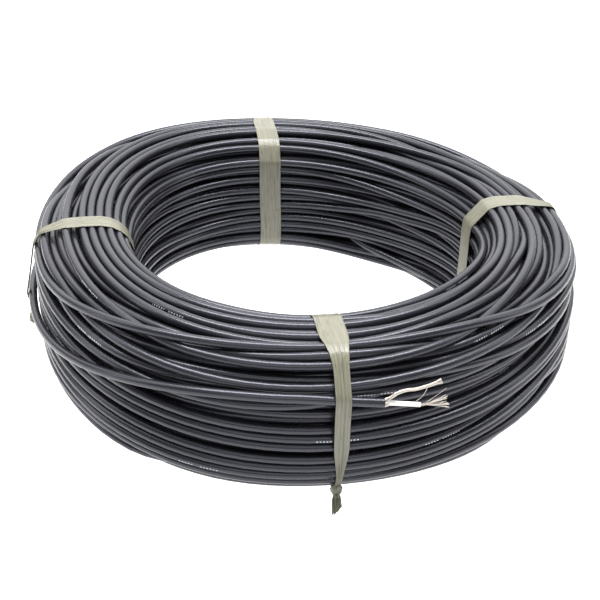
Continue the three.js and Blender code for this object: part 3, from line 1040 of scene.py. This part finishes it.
def tie_tail(rng, tie, reach, lean):
    """One end of the film beyond the knot: along the floor at the front, down the ring elsewhere."""
    steps = TAIL_STEPS
    columns = TAIL_COLUMNS
    t = np.linspace(0, 1, steps)
    v = np.linspace(-1, 1, columns)
    on_floor = tie["knot"] < TAIL_FLOOR
    half = TAIL_HALF + TAIL_OPENS * smoothstep(t, 0.0, 0.3)
    fold = folds(rng, v, TAIL_FOLDS)
    verts = []
    for i in range(steps):
        for k in range(columns):
            cut = 1 - TAIL_CUT * (v[k] + 1)
            along = t[i] * TAIL_LONG * cut
            curl = 0.5 * math.sin(5 * t[i] + 2.0 * v[k] + lean)
            rise = 0.35 * (1 + fold[k]) + 0.4 * (1 + curl) * t[i]
            side = tie["askew"] + lean * along * 0.1 + half[i] * v[k]
            if on_floor:
                x = reach + 2.2 + along
                z = 0.35 + rise + (1 - smoothstep(t[i], 0, 0.35)) * 2.4
            else:
                x = reach + 0.5 + rise + 1.6 * (1 - smoothstep(t[i], 0, 0.4))
                z = tie["knot"] - KNOT_HIGH * 0.5 - along * TAIL_FALL
            turn = tie["azimuth"] + side / (x + plan_swing(tie["azimuth"]))
            verts.append(place(np.array(turn), np.array(x), z))
    coords = np.stack([np.repeat(t * 0.35, columns), np.tile((v + 1) / 2, steps)], 1)
    return np.array(verts), film_faces(steps, columns, False), coords


def tie_piece(name, tie, chain, azimuth, material):
    """One film tie: its band, its knot and its two ends."""
    rng = np.random.default_rng(len(name) * 31 + int(tie["knot"]))
    half = tie["wide"] / 2 / MIDDLE_R
    centre = tie["azimuth"] + tie["askew"] / MIDDLE_R
    loop, out = film_loop(strands_at(chain, azimuth, centre, half), tie["knot"])
    reach = loop[0, 0]
    parts = [tie_band(rng, tie, loop, out), tie_knot(rng, tie, reach)]
    parts += [tie_tail(rng, tie, reach, lean) for lean in TAIL_LEANS]
    verts = np.concatenate([part[0] for part in parts])
    faces = []
    start = 0
    for part in parts:
        faces += [tuple(start + i for i in face) for face in part[1]]
        start += len(part[0])
    mesh = bpy.data.meshes.new(name + "_film")
    mesh.from_pydata(verts.tolist(), [], faces)
    layer = mesh.uv_layers.new(name="film")
    coords = np.concatenate([part[2] for part in parts])
    corners = np.empty(len(mesh.loops), int)
    mesh.loops.foreach_get("vertex_index", corners)
    layer.data.foreach_set("uv", coords[corners].ravel())
    mesh.polygons.foreach_set("use_smooth", [True] * len(mesh.polygons))
    mesh.materials.append(material)
    mesh.update()
    film = bpy.data.objects.new(name + "_film", mesh)
    bpy.context.scene.collection.objects.link(film)
    thickness = film.modifiers.new("thickness", "SOLIDIFY")
    thickness.thickness = FILM_THICK * MM
    thickness.offset = 1.0
    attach(film, "root")
    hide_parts(name)


# Stage and light

def make_floor():
    """A white floor that glows evenly, so that only a faint shadow is left on it."""
    corners = ((-1, -1), (1, -1), (1, 1), (-1, 1))
    mesh = bpy.data.meshes.new("floor")
    mesh.from_pydata([(x * FLOOR_HALF, y * FLOOR_HALF, 0) for x, y in corners], [], [(0, 1, 2, 3)])
    floor = bpy.data.objects.new("floor", mesh)
    bpy.context.scene.collection.objects.link(floor)
    material, _, shader = new_material("floor", FLOOR_COLOUR, 0.9)
    shader.inputs["Specular IOR Level"].default_value = 0.0
    shader.inputs["Emission Color"].default_value = (1, 1, 1, 1)
    shader.inputs["Emission Strength"].default_value = FLOOR_GLOW
    mesh.materials.append(material)


def make_sky():
    """A dome that is bright above and behind the coil and dim in front. The camera sees it white."""
    world = bpy.data.worlds.new("world")
    bpy.context.scene.world = world
    world.use_nodes = True
    tree = world.node_tree
    background = tree.nodes["Background"]
    coords = tree.nodes.new("ShaderNodeTexCoord")
    dot = tree.nodes.new("ShaderNodeVectorMath")
    dot.operation = "DOT_PRODUCT"
    dot.inputs[1].default_value = SKY_TOWARDS
    tree.links.new(coords.outputs["Generated"], dot.inputs[0])
    spread = tree.nodes.new("ShaderNodeMapRange")
    spread.interpolation_type = "SMOOTHSTEP"
    for socket, value in zip(("From Min", "From Max", "To Min", "To Max"), (*SKY_EDGE, *SKY_LIGHT)):
        spread.inputs[socket].default_value = value
    tree.links.new(dot.outputs["Value"], spread.inputs["Value"])
    path = tree.nodes.new("ShaderNodeLightPath")
    seen = tree.nodes.new("ShaderNodeMix")
    tree.links.new(path.outputs["Is Camera Ray"], seen.inputs["Factor"])
    tree.links.new(spread.outputs["Result"], seen.inputs[2])
    seen.inputs[3].default_value = 1.0
    tree.links.new(seen.outputs[0], background.inputs["Strength"])
    background.inputs["Color"].default_value = (1, 1, 1, 1)


def make_softbox(name, at, wide, deep, power):
    """A rectangular light that faces the coil."""
    data = bpy.data.lights.new(name, "AREA")
    data.shape = "RECTANGLE"
    data.size = wide
    data.size_y = deep
    data.energy = power
    light = bpy.data.objects.new(name, data)
    light.location = at
    light.rotation_euler = (-Vector(at)).to_track_quat("-Z", "Y").to_euler()
    bpy.context.scene.collection.objects.link(light)


def main():
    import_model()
    make_camera()
    jacket = jacket_material()
    film = film_material()
    insulation = insulation_material()
    tinned = tinned_material()
    chain, azimuth = wound_chain()
    winding_pieces(chain, azimuth, jacket)

    core = core_piece(insulation)
    strands = conductor_piece(tinned)
    pigtail = pigtail_piece(tinned)
    for piece, slot, node in ((core, "core", "core_insulation"),
                              (strands, "tinned_copper", "conductor_strands"),
                              (pigtail, "tinned_copper", "screen_pigtail")):
        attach(piece, "root")
        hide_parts(node)
    free_end_piece(jacket)

    for name, tie in TIES.items():
        tie_piece(name, tie, chain, azimuth, film)

    make_floor()
    make_sky()
    for name, box in SOFTBOXES.items():
        make_softbox(name, *box)

    scene = bpy.context.scene
    scene.view_settings.view_transform = "Standard"
    scene.render.resolution_x = PICTURE_SIDE
    scene.render.resolution_y = PICTURE_SIDE


main()
